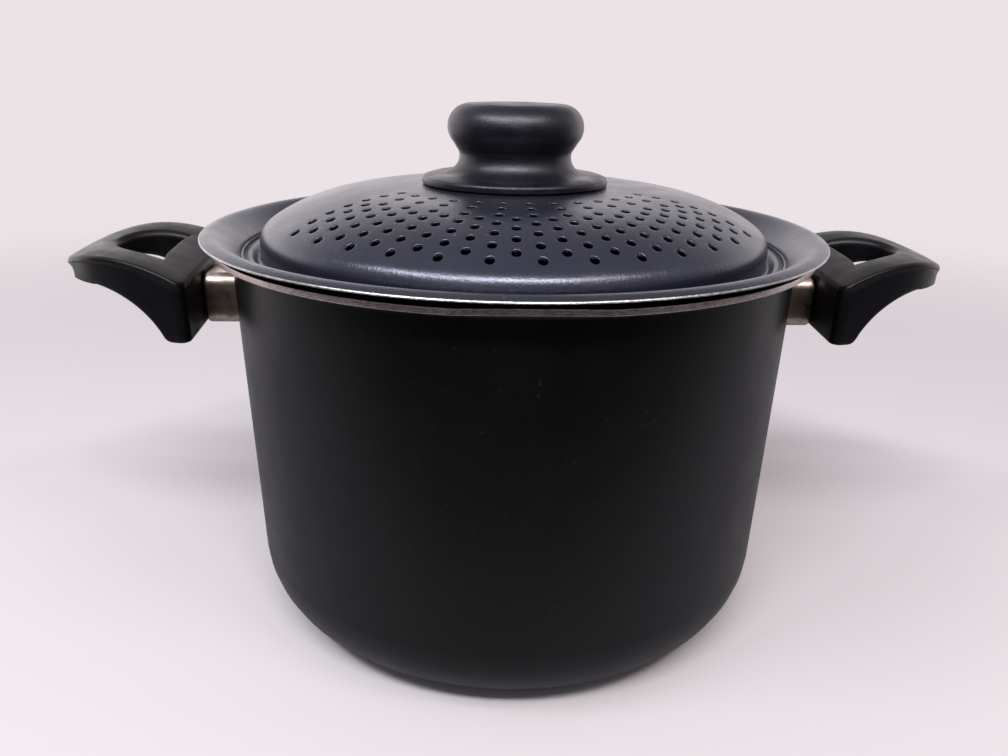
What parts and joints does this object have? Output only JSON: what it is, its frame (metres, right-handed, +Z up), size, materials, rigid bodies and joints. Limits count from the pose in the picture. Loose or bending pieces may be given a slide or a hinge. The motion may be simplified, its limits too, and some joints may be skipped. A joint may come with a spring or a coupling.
{
  "type": "pasta pot with strainer lid",
  "caption": "Tall round pot with a flared rim and pouring flat, loop handles on steel brackets, and a loose domed lid whose perforated fan strains when the pot is tipped.",
  "frame": {"origin": "on the pot's axis, on the surface that the pot stands on", "axes": "+X along the line through the two handles, +Z up the pot's axis, -Y towards the pouring flat and the lid's holes"},
  "size_m": [0.3586, 0.2418, 0.2053],
  "materials": {
    "black_coating": "satin black non-stick coating with fine speckle over aluminium, bare at the rim's cut edge",
    "blue_black_coating": "satin blue-black non-stick coating with a fine pebbled surface over aluminium, bare at the cut edge",
    "black_phenolic": "matte black moulded phenolic, slightly shiny on worn edges",
    "steel": "satin stainless steel, warm with heat tint",
    "brass": "machined"
  },
  "bodies": {
    "pot": {"pot_body": "black_coating", "bracket_left": "steel", "bracket_right": "steel", "stud_left": "steel", "stud_right": "steel", "handle_left": "black_phenolic", "handle_right": "black_phenolic", "washer_left": "steel", "washer_right": "steel", "screw_left": "steel", "screw_right": "steel"},
    "lid": {"strainer_lid": "blue_black_coating", "lid_knob": "black_phenolic", "knob_insert": "brass", "knob_screw": "steel", "knob_washer": "steel"}
  },
  "joints": [
    {"name": "lid_lift", "type": "slide", "parent": "pot", "child": "lid", "axis": [0, 0, 1], "range_m": [0, 0.08]}
  ]
}
